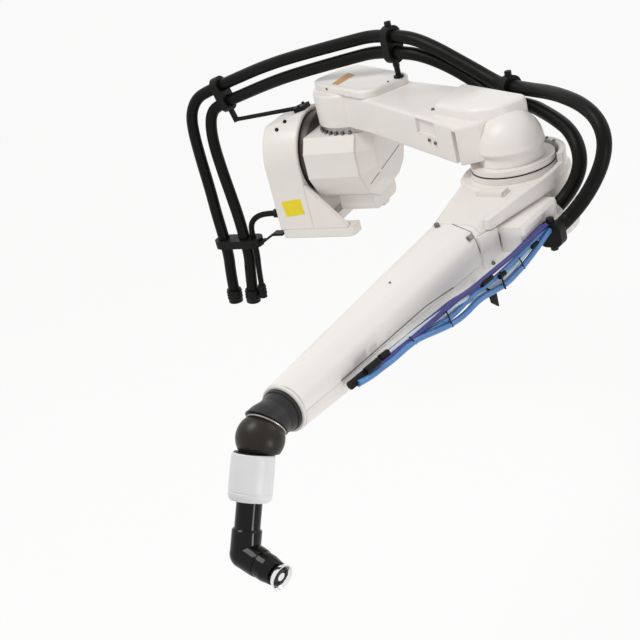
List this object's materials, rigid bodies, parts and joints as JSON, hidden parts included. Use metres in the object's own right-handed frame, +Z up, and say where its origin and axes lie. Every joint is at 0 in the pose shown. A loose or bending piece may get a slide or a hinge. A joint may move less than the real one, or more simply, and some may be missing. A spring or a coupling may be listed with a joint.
{
  "type": "industrial painting robot arm",
  "caption": "White six-axis painting robot arm on a bracket foot, with a hollow wrist, a spray bell applicator and black hoses clamped along its arms.",
  "frame": {"origin": "centre of the foot's flat underside, where the robot bolts to its plinth or rail", "axes": "+Z up out of the foot, +X along axis 1 from the base towards the arm, +Y to the arm's left"},
  "size_m": [2.0565, 2.4683, 1.1406],
  "materials": {
    "white_paint": "satin enamel on castings",
    "white_cover": "satin enamel on thin covers",
    "steel": "turned",
    "black_bracket": "moulded and coated black",
    "black_hose": "smooth sleeve",
    "blue_tube": "extruded",
    "dark_wrist": "satin dark grey",
    "brown_ball": "satin brown black",
    "white_plastic": "turned",
    "gloss_black": "polished",
    "bell_metal": "polished"
  },
  "bodies": {
    "base": {"base_foot": "white_paint", "base_housing": "white_paint", "base_gusset_near": "white_paint", "base_gusset_far": "white_paint", "base_rear_cover": "white_paint", "base_cable_gland": "black_bracket", "low_hose_bracket": "black_bracket", "low_hose_clamp": "black_bracket", "upper_hose_rod": "black_bracket", "upper_hose_clamp": "black_bracket", "riser_hose_outer": "black_hose", "riser_hose_inner": "black_hose", "base_cable": "black_hose", "hose_end_couplings": "black_bracket", "span_hose_outer": "black_hose", "span_hose_inner": "black_hose"},
    "shoulder": {"shoulder_housing": "white_paint", "shoulder_end_cover": "white_paint", "shoulder_lower_cover": "white_paint", "shoulder_collar": "steel"},
    "upper_arm": {"upper_arm_casting": "white_paint", "root_cover": "white_cover", "elbow_turret": "white_paint", "elbow_flange": "white_paint", "elbow_motor_cover": "white_cover", "arm_hose_post": "black_bracket", "arm_hose_clamp": "black_bracket", "elbow_hose_clamp": "black_bracket", "arm_hose_outer": "black_hose", "arm_hose_inner": "black_hose", "loop_hose_outer": "black_hose", "loop_hose_inner": "black_hose"},
    "forearm": {"forearm_housing": "white_paint", "forearm_turntable": "white_paint", "forearm_lip": "white_paint", "forearm_cover": "white_cover", "forearm_tray": "white_paint", "forearm_side_plate": "white_cover", "valve_box": "white_cover", "forearm_hose_clamp": "black_bracket", "process_tubes": "blue_tube", "tube_brackets": "black_bracket", "wrist_collar": "dark_wrist"},
    "wrist_roll": {"wrist_first": "dark_wrist"},
    "wrist_ball": {"wrist_second": "brown_ball"},
    "applicator": {"wrist_flange": "dark_wrist", "tool_collar": "white_plastic", "applicator_body": "gloss_black", "shaping_ring": "gloss_black"},
    "bell": {"bell_cup": "bell_metal"}
  },
  "joints": [
    {"name": "axis_1", "type": "hinge", "parent": "base", "child": "shoulder", "pos_m": [0, 0, 0.313], "axis": [1, 0, 0], "range_deg": [-90, 90], "deforming": ["span_hose_outer", "span_hose_inner"]},
    {"name": "axis_2", "type": "hinge", "parent": "shoulder", "child": "upper_arm", "pos_m": [0.206, 0, 0.455], "axis": [0, 0, 1], "range_deg": [-48.5, 111.5]},
    {"name": "axis_3", "type": "hinge", "parent": "upper_arm", "child": "forearm", "pos_m": [1.05864, -0.5225, 0.408], "axis": [0, 0, -1], "range_deg": [-87.5, 82.5], "deforming": ["loop_hose_outer", "loop_hose_inner"]},
    {"name": "axis_4", "type": "hinge", "parent": "forearm", "child": "wrist_roll", "pos_m": [0.83854, -1.91218, 0.253], "axis": [-0.1564, -0.9877, 0], "continuous": true},
    {"name": "axis_5", "type": "hinge", "parent": "wrist_roll", "child": "wrist_ball", "pos_m": [0.8268, -1.98625, 0.253], "axis": [-0.1355, -0.8554, -0.5], "continuous": true},
    {"name": "axis_6", "type": "hinge", "parent": "wrist_ball", "child": "applicator", "pos_m": [0.81461, -2.06324, 0.208], "axis": [-0.0782, -0.4938, -0.866], "continuous": true},
    {"name": "bell_spin", "type": "hinge", "parent": "applicator", "child": "bell", "pos_m": [0.7931, -2.19904, -0.03016], "axis": [0.9279, -0.2865, -0.2387], "continuous": true}
  ]
}
